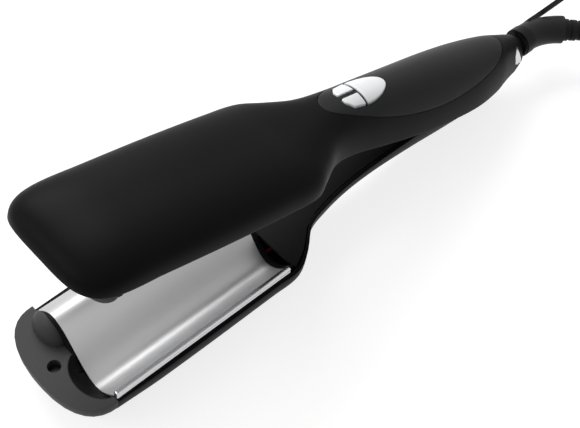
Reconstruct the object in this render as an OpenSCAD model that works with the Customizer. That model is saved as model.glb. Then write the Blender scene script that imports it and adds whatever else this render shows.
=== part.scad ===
// Hair waver: two hinged arms that carry wave-shaped heated plates, hollow
// shells, an inset panel with three buttons, and a swivel cord at the tail.
// Frame: +X from the tip to the cord end, +Y towards the hanging loop, +Z up.
// The lower arm lies level on the ground plane; the upper arm is drawn open
// at its stop. Most pieces are drawn in the hinge frame: the hinge axis is Y,
// the arms reach towards -X, and z = 0 is the plane where the arms meet.

/* [Plates] */
// length of each heated plate
plate_len = 100; // [92:1:102]
// width of each heated plate
plate_w = 54; // [50:1:54]
// height of the wave above and below its mid plane
wave_h = 11; // [9:0.5:11]
// thickness of the plate's wavy sheet
plate_t = 1.6; // [1.2:0.1:1.8]
// upright gap between the two wavy faces when the arms are closed
face_gap = 1; // [0.8:0.1:1.4]
// distance from the hinge to the front edge of the plates
plate_front = 290; // [288:1:292]

/* [Head] */
// how far each head reaches beyond the plate's long edges
head_side = 4; // [4:0.25:5]
// depth of each head from the mid plane to its crown
head_d = 21; // [20.5:0.5:23]
// how far the lower nose reaches ahead of the plate
lower_nose = 19.5; // [19:0.5:24]
// how far the upper nose reaches ahead of the plate
upper_nose = 19; // [18:0.5:19.5]
// wall thickness of the shells
wall = 1.8; // [1.6:0.1:2]

/* [Handle] */
// outside width of the upper handle at its widest
handle_w = 39; // [37:0.5:42]
// height of the upper handle's crown above the mid plane
handle_d = 22.4; // [21.6:0.2:23]
// outside width of the lower handle
grip_w = 22; // [20:0.5:24]
// depth of the lower handle's belly below the mid plane
grip_d = 20.5; // [19:0.5:20.5]
// thickness of the covers that close the handles
cover_t = 1.8; // [1.5:0.1:2]

/* [Hinge] */
// angle between the arms when they are open at the stop
open_angle = 13.3; // [8:0.1:13.3]
// diameter of the hinge pin
pin_d = 4; // [3.5:0.1:4]
// running clearance on the hinge pin's radius
pin_fit = 0.05; // [0.03:0.01:0.08]
// outside diameter of the hinge bushes
bush_d = 6; // [5.5:0.1:6.4]
// width of the hinge bracket across its lugs
bracket_w = 11.2; // [10.8:0.1:11.4]
// wire diameter of the hinge spring
spring_wire = 1; // [0.8:0.1:1.1]

/* [Swivel] */
// outside diameter of the collar
collar_d = 16.4; // [16:0.1:17]
// length of the collar
collar_len = 6; // [5.8:0.1:8]
// height of the collar's axis above the mid plane
collar_z = 3.5; // [3:0.1:4]
// diameter of the swivel's neck
neck_d = 8.4; // [8:0.1:9]
// running clearance on the neck's radius
neck_fit = 0.08; // [0.05:0.01:0.1]

/* [Panel and buttons] */
// thickness of the inset panel
panel_t = 2; // [1.8:0.1:2.2]
// seam between the panel and the shell
seam = 0.25; // [0.2:0.05:0.4]
// half the width of the button group
group_half = 8; // [7:0.5:9]
// slot between neighbouring buttons
slot = 1.6; // [1.2:0.1:2]
// clearance around each button in the panel
button_fit = 0.3; // [0.25:0.05:0.4]
// how far the buttons stand above the panel
proud = 0.7; // [0.5:0.1:1]
// travel of each button
travel = 0.6; // [0.4:0.1:0.7]

/* [Cord] */
// diameter of the mains cord
cord_d = 6; // [5.5:0.1:6.5]
// diameter of the swivel sleeve
sleeve_d = 15.6; // [14:0.2:15.8]
// bend radius of the sleeve's axis
sleeve_r = 35; // [33:1:40]
// angle through which the sleeve bends
sleeve_turn = 42; // [40:1:44]
// diameter of the strain relief where it leaves the sleeve
relief_d = 12.4; // [11:0.2:13]
// length of the strain relief
relief_len = 38; // [34:1:42]
// inside diameter of the hanging loop
loop_in = 18; // [16:0.5:20]
// thickness of the hanging loop
loop_t = 2.6; // [2.2:0.1:3]

/* [Hidden] */
$fn = 48;
eps = 0.01;
cols = 20;
row_step = 10;
plate_rear = plate_front - plate_len;
head_w = plate_w + 2 * head_side;
nose_joint = plate_front + 0.2;
collar_front = 9.7;
collar_back = collar_front + collar_len;
swivel_gap = 0.3;
sleeve_at = collar_back + swivel_gap;
loop_x = sleeve_at + 30;
loop_band = 3;
tip = plate_front + lower_nose;
hinge_x = (tip - loop_x - loop_in / 2 - loop_band) / 2;
hinge_z = head_d;

// ---- arm outlines ---------------------------------------------------------
// Stations along each arm: distance ahead of the hinge, half width, crown
// depth, rim depth on the rail side, rim depth on the other side, roundness.
// Depths grow away from the mid plane; a negative rim depth wraps past it.
rail_rim = 1;
free_rim = 4.4;
lower_tail = 8;
lower_line = [
    [lower_tail, 0.39 * grip_w, 0.64 * grip_d, 1, 1, 2.4],
    [30, grip_w / 2 - 0.4, 0.94 * grip_d, 1, 1, 2.4],
    [52, grip_w / 2 - 1.6, grip_d, 1, 1, 2.3],
    [80, grip_w / 2 - 2, grip_d - 3.5, 1, 1, 2.2],
    [110, grip_w / 2 - 2.2, grip_d - 6.5, 1, 1, 2.2],
    [132, grip_w / 2 - 1.4, grip_d - 7, 1, 1, 2.3],
    [150, grip_w / 2 + 1, grip_d - 5.5, 1, 1, 2.4],
    [164, 15.8, 16.5, 1, 1.6, 2.6],
    [176, head_w / 2 - 5.7, 18.8, rail_rim, 3, 2.7],
    [186, head_w / 2 - 0.2, 20, rail_rim, free_rim, 2.7],
    [200, head_w / 2, head_d, rail_rim, free_rim, 2.7],
    [nose_joint - 25, head_w / 2, head_d, rail_rim, free_rim, 2.7],
    [nose_joint, head_w / 2 - 0.6, head_d - 2, rail_rim, free_rim, 2.6]
];
upper_tail = -7;
upper_joint = plate_front - 14;
upper_line = [
    [upper_tail, 8.1, 10.4, -5.5, -5.5, 2.2],
    [0, 9.2, 13, -6, -6, 2.2],
    [10, 11.6, 15.5, -6, -6, 2.1],
    [24, 15.4, 18, -6, -6, 2.1],
    [45, 0.48 * handle_w, handle_d - 2.8, -6, -6, 2.1],
    [70, handle_w / 2, handle_d - 1.2, -5.5, -5.5, 2.1],
    [100, handle_w / 2 - 0.7, handle_d, -4, -4, 2.1],
    [125, handle_w / 2 - 2, handle_d + 0.6, -1.5, -1.5, 2.2],
    [148, handle_w / 2 - 2.6, handle_d + 0.6, 1, 2, 2.3],
    [164, handle_w / 2 - 0.6, handle_d - 0.7, 1, free_rim - 0.6, 2.6],
    [177, head_w / 2 - 5.6, handle_d - 2, rail_rim, free_rim, 2.8],
    [187, head_w / 2 - 0.8, handle_d - 2.8, rail_rim, free_rim, 3],
    [204, head_w / 2, head_d - 0.8, rail_rim, free_rim, 3],
    [240, head_w / 2, head_d - 0.2, rail_rim, free_rim + 0.6, 3],
    [upper_joint, head_w / 2 - 0.6, head_d - 0.4, rail_rim,
     free_rim + 1.6, 3]
];
S_AT = 0;
S_HALF = 1;
S_CROWN = 2;
S_RAIL = 3;
S_FREE = 4;
S_ROUND = 5;

// station just behind a distance
function seg(t, s, i = 0) =
    i >= len(t) - 2 || s < t[i + 1][0] ? i : seg(t, s, i + 1);
// slope of one column at a station, from its neighbours
function slope(t, i, c) =
    let (a = max(i - 1, 0), b = min(i + 1, len(t) - 1))
    (t[b][c] - t[a][c]) / (t[b][0] - t[a][0]);
// smooth value of one column at a distance
function at(t, s, c) =
    let (i = seg(t, s), h = t[i + 1][0] - t[i][0], u = (s - t[i][0]) / h)
    (2 * u^3 - 3 * u^2 + 1) * t[i][c]
    + (u^3 - 2 * u^2 + u) * h * slope(t, i, c)
    + (3 * u^2 - 2 * u^3) * t[i + 1][c]
    + (u^3 - u^2) * h * slope(t, i + 1, c);
// whole station at a distance
function station(t, s) = [s, for (c = [S_HALF:S_ROUND]) at(t, s, c)];
// stations at an even pitch between two distances
function stations(t, from, to) =
    let (n = max(1, round((to - from) / row_step)))
    [for (i = [0:n]) station(t, from + (to - from) * i / n)];
// stations that close a nose: the outline is a superellipse in plan and in
// side view, and stops just short of its apex, where all comes to one depth
function nose_rows(st, to, plan, side, low, n = 9, short = 0.998) =
    [for (i = [1:n])
        let (u = short * sin(90 * i / n),
             p = (1 - u^plan)^(1 / plan),
             q = (1 - u^side)^(1 / side))
        [st[S_AT] + (to - st[S_AT]) * u, st[S_HALF] * p,
         low + (st[S_CROWN] - low) * q,
         st[S_RAIL] + (low - st[S_RAIL]) * u^3,
         st[S_FREE] + (low - st[S_FREE]) * u^3, st[S_ROUND]]];
// stations moved inwards by a wall
function inset(rows, t) =
    [for (r = rows) [r[0], r[1] - t, r[2] - t, r[3], r[4], r[5]]];
// half width of a station at a depth
function half_at(r, depth, rim) =
    let (u = max(0, (depth - rim) / (r[S_CROWN] - rim)))
    r[S_HALF] * (1 - u^r[S_ROUND])^(1 / r[S_ROUND]);

// one point of a section, crown downwards; flat cuts the crown off level
function section_point(r, k, flat = 0) =
    let (a = -90 + 180 * k / cols,
         y = r[S_HALF] * sign(a) * abs(sin(a))^(2 / r[S_ROUND]),
         c = abs(cos(a))^(2 / r[S_ROUND]),
         rim = a < 0 ? r[S_RAIL] : r[S_FREE])
    [-r[S_AT], y, -min(rim + (r[S_CROWN] + flat - rim) * c, r[S_CROWN])];
function grid(rows, flat = 0) =
    [for (r = rows) for (k = [0:cols]) section_point(r, k, flat)];
// quads between the rows of a grid
function skin(rows, base, out) =
    [for (i = [0:rows - 2]) for (k = [0:cols - 1])
        let (a = base + i * (cols + 1) + k, b = a + cols + 1)
        out ? [a, a + 1, b + 1, b] : [a, b, b + 1, a + 1]];

// shell between an outer and an inner grid with the same row count; each
// end is an open ring, or is closed by one wall
module hollow(outer, inner, flat = 0, shut_rear = false, shut_front = false) {
    n = len(outer);
    w = cols + 1;
    b = n * w;
    last = (n - 1) * w;
    rim = [for (i = [0:n - 2]) each [
        [i * w, (i + 1) * w, b + (i + 1) * w, b + i * w],
        [i * w + cols, b + i * w + cols, b + (i + 1) * w + cols,
         (i + 1) * w + cols]]];
    rear = shut_rear
        ? [[for (k = [0:cols]) cols - k],
           [for (k = [0:cols]) b + k],
           [0, b, b + cols, cols]]
        : [for (k = [0:cols - 1]) [k, b + k, b + k + 1, k + 1]];
    front = shut_front
        ? [[for (k = [0:cols]) last + k],
           [for (k = [0:cols]) b + last + cols - k],
           [last, last + cols, b + last + cols, b + last]]
        : [for (k = [0:cols - 1])
            [last + k, last + k + 1, b + last + k + 1, b + last + k]];
    polyhedron(concat(grid(outer), grid(inner, flat)),
        concat(skin(n, 0, true), skin(n, b, false), rim, rear, front));
}

// solid between the sections of a grid and the straight lines over them
module filled(rows) {
    n = len(rows);
    w = cols + 1;
    last = (n - 1) * w;
    deck = [for (i = [0:n - 2])
        [i * w, (i + 1) * w, (i + 1) * w + cols, i * w + cols]];
    polyhedron(grid(rows), concat(skin(n, 0, true), deck,
        [[for (k = [0:cols]) cols - k], [for (k = [0:cols]) last + k]]));
}

cover_gap = 0.7;
// flat bar along an arm between its walls, sunk under the rims and never
// nearer the mid plane than the least depth
module ribbon(t, from, to, sink, least) {
    rows = inset(stations(t, from, to), wall);
    n = len(rows);
    function ring(r) =
        let (a = max(r[S_RAIL] + sink, least), b = max(r[S_FREE] + sink, least),
             ya = half_at(r, a + cover_t, r[S_RAIL]) - cover_gap,
             yb = half_at(r, b + cover_t, r[S_FREE]) - cover_gap)
        [[-r[0], -ya, -a], [-r[0], yb, -b],
         [-r[0], yb, -b - cover_t], [-r[0], -ya, -a - cover_t]];
    polyhedron([for (r = rows) each ring(r)],
        concat([[0, 1, 2, 3]], [[for (j = [3:-1:0]) 4 * (n - 1) + j]],
            [for (i = [0:n - 2]) for (j = [0:3])
                let (a = 4 * i, k = (j + 1) % 4)
                [a + j, a + 4 + j, a + 4 + k, a + k]]));
}

// ---- frames ---------------------------------------------------------------
module hinge_frame() {
    translate([hinge_x, 0, hinge_z]) children();
}
// upper arm, z = 0 on its plate's mid plane, crown up
module upper_frame() {
    hinge_frame() rotate([0, open_angle, 0]) children();
}
// upper arm with its pieces drawn as they are on the lower arm, crown down
module flipped() {
    upper_frame() rotate([180, 0, 0]) children();
}
// axis of the collar and the swivel along X
module collar_frame() {
    hinge_frame() translate([0, 0, collar_z]) children();
}
// cylinder along +X from a starting place
module rod_x(x, d, h) {
    translate([x, 0, 0]) rotate([0, 90, 0]) cylinder(d = d, h = h);
}
// cylinder along Y, centred
module rod_y(d, h) {
    rotate([90, 0, 0]) cylinder(d = d, h = h, center = true);
}
// shape drawn in Y and Z, pushed from one distance ahead to another
module run(from, to) {
    translate([-to, 0, 0]) rotate([90, 0, 90])
        linear_extrude(to - from) children();
}
// upright cylinder at a distance ahead, between two depths
module post(p, d, deep, high) {
    translate([-p[0], p[1], -deep]) cylinder(d = d, h = deep - high);
}

// ---- heads ----------------------------------------------------------------
wave_steps = 36;
function wave(y) = wave_h * sin(360 * y / plate_w);
function wave_line(from, to, drop) =
    [for (i = [0:wave_steps])
        let (y = from + (to - from) * i / wave_steps) [y, wave(y) - drop]];
side_gap = 0.2;
half = plate_w / 2;
face = face_gap / 2;
back = face + plate_t;
seat_half = 6;
seat_z = -wave_h - 0.5;
inner_half = head_w / 2 - wall - 1.7;

// wavy plate with the flat seat for its heater
module plate() {
    run(plate_rear, plate_front) {
        polygon(concat(wave_line(-half, half, face),
            wave_line(half, -half, back)));
        polygon(concat(wave_line(-seat_half, seat_half, back - 0.2),
            [[seat_half, seat_z], [-seat_half, seat_z]]));
    }
}

// heat-proof frame behind the plate; shelves at its edges face the rims and
// a tongue ahead of the plate holds the nose
strip_in = 15;
strip_t = 2.2;
strip_gap = 0.06;
shelf_rail = -rail_rim;
shelf_free = -free_rim - 0.4;
shelf_t = 2.5;
block_len = 4;
block_rear = 9;
block_half = 18;
block_z = -wave_h - 4.2;
lip = 3;
lip_t = 1;
carrier_rear = plate_rear - lip;
tongue_half = 5.5;
tongue_z = [-13, -8];
tongue_tip = plate_front + 13;
deck_screw = plate_front + 10.5;
screw_d = 2.6;
boss_d = 9;
boss_h = 6;
head_boss = [plate_rear + 0.5, 0];
head_boss_top = head_d - boss_h - 0.2;
module carrier_section() {
    polygon(concat(
        [[-inner_half, shelf_rail], [-half - 0.05, shelf_rail]],
        wave_line(-half, half, back),
        [[half + 0.05, shelf_free], [inner_half, shelf_free],
         [inner_half, shelf_free - shelf_t],
         [block_half, block_z], [-block_half, block_z],
         [-inner_half, shelf_rail - 2 * shelf_t]]));
}
module carrier_strips() {
    polygon(concat(
        [[-inner_half, shelf_rail], [-half - 0.05, shelf_rail]],
        wave_line(-half, -strip_in, back + strip_gap),
        wave_line(-strip_in, -half, back + strip_t),
        [[-inner_half, shelf_rail - shelf_t]]));
    polygon(concat(
        wave_line(strip_in, half, back + strip_gap),
        [[half + 0.05, shelf_free], [inner_half, shelf_free],
         [inner_half, shelf_free - shelf_t], [half - 2, shelf_free - shelf_t]],
        wave_line(half - 2, strip_in, back + strip_t)));
}
module carrier() {
    rear = plate_rear + block_rear - lip;
    difference() {
        union() {
            run(carrier_rear, rear) carrier_section();
            run(rear - eps, plate_front - block_len + eps) carrier_strips();
            run(plate_front - block_len, plate_front) carrier_section();
            run(carrier_rear, plate_rear - side_gap)
                polygon(concat(wave_line(-half, half, face),
                    wave_line(half, -half, back + lip_t)));
            run(plate_front - eps, tongue_tip)
                translate([-tongue_half, tongue_z[0]])
                    square([2 * tongue_half, tongue_z[1] - tongue_z[0]]);
        }
        run(plate_rear, plate_front)
            translate([-seat_half - side_gap, seat_z - side_gap])
                square([2 * (seat_half + side_gap), -seat_z + wave_h]);
        post(head_boss, boss_d + 0.4, 30, head_boss_top);
        post(head_boss, screw_d, 20, 8.5);
        post([deck_screw, 0], screw_d, 20, 0);
    }
}

// polished edge rail with one groove along its outer face
rail_w = 2.4;
rail_top = 3.3;
module rail() {
    y0 = -half - side_gap;
    y1 = y0 - rail_w;
    run(plate_rear + 1, plate_front)
        polygon([[y0, shelf_rail], [y0, rail_top],
            [y1 + 0.6, rail_top], [y1, rail_top - 0.6],
            [y1, 1.7], [y1 + 0.6, 1.4], [y1 + 0.6, 0.9], [y1, 0.6],
            [y1, shelf_rail]]);
}

// rounded end of the hump ahead of the plate, standing on the nose deck
dome_len = 8;
dome_y = half / 2;
dome_h = wave_h - face;
dome_half = half / 2 - 0.6;
dome_r = (dome_h^2 + dome_half^2) / (2 * dome_h);
dome_steps = 10;
module dome_body(r, len) {
    rotate([0, -90, 0]) rotate_extrude()
        polygon(concat([[0, 0]],
            [for (i = [0:dome_steps])
                let (a = 90 * i / dome_steps) [r * cos(a), len * sin(a)]]));
}
module dome(deck) {
    difference() {
        translate([-nose_joint, dome_y, dome_h - dome_r])
            dome_body(dome_r, dome_len);
        translate([-plate_front - 20, dome_y - 20, -deck - 40])
            cube([40, 40, 40]);
    }
}
// pocket in the nose that takes the other arm's dome
module dome_pocket() {
    translate([-plate_front + 1, -dome_y, dome_r - dome_h])
        dome_body(dome_r + 0.9, dome_len + 2.4);
}

// heater strip, its clip and the sensor on the plate's seat
heater_t = 4;
heater_half = 5.4;
heater_from = plate_rear + 15;
heater_to = plate_front - 15;
clip_t = 0.8;
module heater() {
    run(heater_from, heater_to)
        translate([-heater_half, seat_z - heater_t])
            square([2 * heater_half, heater_t]);
}
module heater_clip() {
    low = seat_z - heater_t;
    out = seat_half + clip_t;
    run(heater_from + 20, heater_to - 20)
        polygon([[-seat_half, seat_z + 0.8], [-seat_half, low],
            [seat_half, low], [seat_half, seat_z + 4],
            [out, seat_z + 4], [out, low - clip_t],
            [-out, low - clip_t], [-out, seat_z + 0.8]]);
}
bead_d = 2.4;
bead_len = 6;
module thermistor() {
    translate([-heater_from - 2, seat_half + bead_d / 2, seat_z + 3])
        rod_x(-bead_len, bead_d, bead_len);
}

// ---- wires and cord: a tube swept along a list of points ------------------
function unit(v) = v / norm(v);
function tangent(p, i) =
    unit(p[min(i + 1, len(p) - 1)] - p[max(i - 1, 0)]);
function tube_ring(c, t, d, n, ref) =
    let (side = unit(cross(t, ref)), up = cross(side, t))
    [for (k = [0:n - 1])
        let (a = 360 * k / n) c + d / 2 * (cos(a) * side + sin(a) * up)];
// ref is a direction that the tube never runs along
module tube(p, d, n = 8, ref = [0, 0.1, 1]) {
    m = len(p);
    polyhedron(
        [for (i = [0:m - 1]) each tube_ring(p[i], tangent(p, i), d, n, ref)],
        concat([[for (k = [n - 1:-1:0]) k]],
            [[for (k = [0:n - 1]) n * (m - 1) + k]],
            [for (i = [0:m - 2]) for (k = [0:n - 1])
                let (a = n * i, j = (k + 1) % n)
                [a + k, a + j, a + n + j, a + n + k]]));
}

wire_d = 1.6;
wire_side = 4.7;
wire_floor = block_z - wire_d / 2 - 0.1;
heater_mid = seat_z - heater_t / 2;
// routes in the hinge frame, from the swivel over the pin to the heater
function lower_wire(y, side) = [
    [8.6, y, 3.5], [5, y, 4.2], [2, y, 4.9], [-2, y, 5], [-5, y, 4.9],
    [-8, (y + side) / 2, 3.8], [-11, side, 1.6], [-14, side, -1.6],
    [-18, side, -4.6], [-26, side, -8], [-44, 1.05 * side, -8],
    [-60, 1.05 * side, -8], [-85, 1.05 * side, -7.4],
    [-110, 1.05 * side, -6.4],
    [-135, 1.1 * side, -6.8], [-155, 1.2 * side, -9],
    [20 - plate_rear, 1.3 * side, -13], [10 - plate_rear, 1.3 * side, -16.3],
    [-plate_rear, 1.3 * side, wire_floor],
    [-plate_rear - 7, 1.2 * side, wire_floor],
    [-plate_rear - 11.5, side / 2, heater_mid - 1],
    [2 - heater_from, side / 2, heater_mid],
    [-heater_from, side / 2, heater_mid]];

// ---- lower arm ------------------------------------------------------------
// screws from below: distance ahead, offset, depth of the boss's top
foot_z = [-6, -1.6];
lower_bosses = [
    [17.5, 0, -foot_z[0]],
    [52, 0, grip_d - boss_h],
    [122, 0, at(lower_line, 122, S_CROWN) - boss_h],
    [head_boss[0], 0, head_boss_top]
];
screw_head_d = 5;
screw_head_t = 1.6;
screw_cover = 3;
thread_in = 2.8;
bore_gap = 0.2;
module lower_shell() {
    body = stations(lower_line, lower_tail, nose_joint);
    inner = inset(body, wall);
    rear = inner[0];
    color("black") hinge_frame() difference() {
        union() {
            hollow(body,
                concat([[rear[0] + wall, for (c = [1:5]) rear[c]]],
                    [for (i = [1:len(inner) - 1]) inner[i]]),
                0.6, shut_rear = true);
            for (b = lower_bosses)
                post(b, boss_d, at(lower_line, b[0], S_CROWN) - 0.8, b[2]);
        }
        for (b = lower_bosses) {
            crown = at(lower_line, b[0], S_CROWN);
            post(b, screw_head_d + 2 * bore_gap, crown + 5,
                crown - screw_cover);
            post(b, screw_d + 2 * bore_gap, crown, b[2] - 1);
        }
        translate([-lower_tail - 5, -foot_half - side_gap, foot_z[0] - side_gap])
            cube([10, 2 * (foot_half + side_gap), 10]);
    }
}
// screw pointing up, z = 0 under its head
module screw_up(len) {
    translate([0, 0, -screw_head_t])
        cylinder(d = screw_head_d, h = screw_head_t);
    cylinder(d = screw_d, h = len);
}
module lower_screws() {
    color("silver") hinge_frame()
        for (b = lower_bosses)
            translate([-b[0], b[1], screw_cover - at(lower_line, b[0], S_CROWN)])
                screw_up(at(lower_line, b[0], S_CROWN) - screw_cover - b[2]
                    + thread_in);
}
cover_rear = 24;
post_d = 6.5;
lower_sink = 0.5;
cover_posts = [lower_bosses[1], lower_bosses[2]];
module lower_handle_cover() {
    color("dimgray") hinge_frame() difference() {
        union() {
            ribbon(lower_line, cover_rear, carrier_rear - side_gap, lower_sink,
                -20);
            for (b = cover_posts)
                post(b, post_d, b[2], rail_rim + lower_sink + 0.9);
        }
        for (b = cover_posts) post(b, screw_d, 30, b[2] - 4);
    }
}
module lower_nose_cap() {
    st = station(lower_line, nose_joint);
    rows = concat([st], nose_rows(st, tip, 2.4, 2, 3));
    fit = side_gap;
    color("gray") hinge_frame() difference() {
        filled([for (r = rows) [r[0], r[1], r[2], face, face, r[5]]]);
        dome_pocket();
        run(plate_front, tongue_tip + fit)
            translate([-tongue_half - fit, tongue_z[0] - fit])
                square([2 * (tongue_half + fit),
                    tongue_z[1] - tongue_z[0] + fit]);
        post([deck_screw, 0], screw_d + 0.3, -tongue_z[1] + 1, 0);
        post([deck_screw, 0], screw_head_d + 1, -tongue_z[1] - 2, -5);
    }
}
module nose_screw() {
    color("silver") hinge_frame()
        translate([-deck_screw, 0, tongue_z[1] + 2]) {
            cylinder(d = screw_head_d, h = screw_head_t);
            translate([0, 0, -5.4]) cylinder(d = screw_d, h = 5.4);
        }
}
module lower_carrier() { color("black") hinge_frame() carrier(); }
module lower_plate() { color("silver") hinge_frame() plate(); }
module lower_rail() { color("lightgray") hinge_frame() rail(); }
module lower_dome() { color("gray") hinge_frame() dome(face); }
module lower_heater() { color("white") hinge_frame() heater(); }
module lower_heater_clip() { color("silver") hinge_frame() heater_clip(); }
module lower_thermistor() { color("orange") hinge_frame() thermistor(); }
module lower_wires() {
    color("red") hinge_frame() {
        tube(lower_wire(-1.2, -wire_side), wire_d);
        tube(lower_wire(1.2, wire_side), wire_d);
    }
}

// ---- hinge ----------------------------------------------------------------
lug_d = 10;
lug_t = 2.6;
spring_r = pin_d / 2 + 0.3 + spring_wire / 2;
slot_low = -spring_r - spring_wire / 2;
base_low = -5;
foot_half = 3.4;
foot_tip = 21.5;
tail_rod_d = 10.4;
tail_rod_x = 4.6;
disc_from = 7.4;
// disc ahead of the collar, cut to the slope of the open upper arm's end
module bracket_disc() {
    difference() {
        translate([0, 0, collar_z])
            rod_x(disc_from, collar_d - 1.2, collar_front - disc_from);
        rotate([0, open_angle, 0])
            translate([-30 - upper_tail + 0.4, -20, -30]) cube([30, 40, 60]);
    }
}
module hinge_bracket() {
    w = bracket_w;
    color("silver") hinge_frame() difference() {
        union() {
            translate([-lower_tail + 0.2, -w / 2, base_low])
                cube([lower_tail + tail_rod_x, w, 5]);
            rod_y(lug_d, w);
            translate([0, 0, 0.4])
                rod_x(0, tail_rod_d, collar_front);
            translate([-foot_tip, -foot_half, foot_z[0]])
                cube([foot_tip - 6, 2 * foot_half, foot_z[1] - foot_z[0]]);
            bracket_disc();
        }
        translate([-lower_tail - 0.8, -w / 2 + lug_t, slot_low])
            cube([lower_tail + 0.8 + tail_rod_x, w - 2 * lug_t, 20]);
        translate([0, -2.2, collar_z - 1.7]) cube([20, 4.4, 20]);
        rod_y(bush_d, 2 * w);
        post(lower_bosses[0], screw_d, 10, -3);
    }
}
bush_out = 0.9;
module hinge_bushes() {
    out = bracket_w / 2 + bush_out;
    color("gold") hinge_frame()
        for (side = [0, 180])
            rotate([0, 0, side]) translate([0, out, 0]) rotate([90, 0, 0])
                difference() {
                    cylinder(d = bush_d, h = lug_t + bush_out);
                    translate([0, 0, -1])
                        cylinder(d = pin_d + 2 * pin_fit, h = lug_t + 3);
                }
}
pin_len = 17.4;
module hinge_pin() {
    color("silver") upper_frame() rod_y(pin_d, pin_len);
}
// torsion spring round the pin: one leg presses the upper arm open, the
// other lies on the bracket
spring_turns = 2.5;
spring_pitch = spring_wire + 0.15;
spring_steps = 12;
module hinge_spring() {
    last = spring_turns * spring_steps;
    y0 = -1.6;
    coil = [for (i = [0:last])
        let (a = 180 + 360 * i / spring_steps)
        [-spring_r * sin(a), y0 + spring_pitch * i / spring_steps,
         -spring_r * cos(a)]];
    y1 = coil[last][1];
    color("gray") hinge_frame()
        tube(concat([[-5.8, y0, spring_r], [-3, y0, spring_r]], coil,
            [[-3, y1, -spring_r], [-7, y1, -spring_r]]), spring_wire,
            ref = [0, 1, 0]);
}

// ---- collar and swivel ----------------------------------------------------
flange_d = 12;
flange_t = collar_len - 2.6;
module swivel_collar() {
    color("black") collar_frame() difference() {
        rod_x(collar_front, collar_d, collar_len);
        rod_x(collar_front - 1, flange_d + 0.6, flange_t + 1.3);
        rod_x(collar_front, neck_d + 2 * neck_fit, 20);
    }
}
neck_in = 7;
module swivel_barrel() {
    color("dimgray") collar_frame() difference() {
        union() {
            rod_x(collar_front + 0.3, flange_d, flange_t - 0.3);
            rod_x(collar_front + 1, neck_d,
                sleeve_at - collar_front - 1 + neck_in);
        }
        rod_x(0, 5.4, 60);
    }
}
// hanging loop: a ring on a stem beside the sleeve, in a leaned plane
loop_lean = 26.7;
loop_off = 6.4;
loop_stem = 8;
module loop_ring() {
    out = loop_in + 2 * loop_band;
    rotate([loop_lean, 0, 0]) translate([loop_x, loop_off, 0])
        difference() {
            union() {
                rod_y(out, loop_t);
                translate([-out / 2 - 10, -loop_t / 2, -loop_stem / 2])
                    cube([12, loop_t, loop_stem]);
            }
            rod_y(loop_in, 2 * loop_t);
        }
}
module cord_sleeve() {
    color("dimgray") collar_frame() difference() {
        union() {
            translate([sleeve_at, -sleeve_r, 0])
                rotate([0, 0, 90 - sleeve_turn])
                    rotate_extrude(angle = sleeve_turn)
                        translate([sleeve_r, 0]) circle(d = sleeve_d);
            loop_ring();
        }
        rod_x(sleeve_at - 1, neck_d, neck_in + 1);
    }
}
// end of the sleeve, x along the cord's way out
module sleeve_end() {
    collar_frame() translate([sleeve_at, -sleeve_r, 0])
        rotate([0, 0, -sleeve_turn]) translate([0, sleeve_r, 0]) children();
}
ribs = 8;
rib_share = 0.62;
rib_depth = 1;
relief_end_d = cord_d + 1.6;
module strain_relief() {
    pitch = relief_len / ribs;
    function rib_r(x) =
        (relief_d + (relief_end_d - relief_d) * x / relief_len) / 2;
    color("black") sleeve_end() rotate([0, 90, 0]) rotate_extrude()
        polygon(concat([[0, 0]],
            [for (i = [0:ribs - 1])
                let (x = pitch * i, cut = x + rib_share * pitch, r = rib_r(x))
                each [[r, x], [r, cut], [r - rib_depth, cut],
                    [r - rib_depth, x + pitch]]],
            [[0, relief_len]]));
}

// route of the cord in the hinge frame, chosen by hand: out of the relief,
// tangent into the top of the coil; then from the coil's foot to the plug
cord_lie = -hinge_z + cord_d / 2 + 0.1;
exit = [sleeve_at + sleeve_r * sin(sleeve_turn) + relief_len * cos(sleeve_turn),
    -sleeve_r * (1 - cos(sleeve_turn)) - relief_len * sin(sleeve_turn),
    collar_z];
// steps along the way out and the drop below the exit
cord_fall = [[0, 0], [2, 0], [8, 0.2], [14, 0.7], [20, 1.4], [26, 2],
    [32, 2.4], [36, 2.5]];
fall_len = 36;
coil_r = 30;
coil_band = 19;
coil_high = 25.2;
coil_out = coil_r + coil_band / 2;
way = [cos(sleeve_turn), -sin(sleeve_turn), 0];
aside = [-sin(sleeve_turn), -cos(sleeve_turn), 0];
land = [exit[0], exit[1], 0] + way * fall_len;
coil_turn = coil_out - cord_d / 2;
coil_c = land - aside * coil_turn;
module cord_tube() {
    color("dimgray") hinge_frame() difference() {
        union() {
            tube([for (f = cord_fall) exit + way * f[0] - [0, 0, f[1]]],
                cord_d);
            tube([for (p = plug_lead)
                plug_out + plug_way * p[0] + [0, 0, p[1]]], cord_d);
        }
        translate([coil_c[0], coil_c[1], -hinge_z])
            cylinder(r = coil_out + 0.1, h = 2 * coil_high);
    }
}
// lead that leaves the coil on the ground: along and up
plug_rise = 4;
plug_away = 45;
plug_way = [cos(plug_away), sin(plug_away), 0];
plug_out = [coil_c[0] + coil_turn * sin(plug_away),
    coil_c[1] - coil_turn * cos(plug_away), cord_lie];
plug_lead = [[0, 0], [6, 0], [12, 0.1], [18, 0.9], [24, 2.2], [30, 3.4],
    [35, plug_rise], [38, plug_rise]];
lead_len = 38;
module cord_coil() {
    color("dimgray") hinge_frame()
        translate([coil_c[0], coil_c[1], -hinge_z])
            rotate_extrude() translate([coil_out - coil_band, 0])
                square([coil_band, coil_high]);
}

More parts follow.
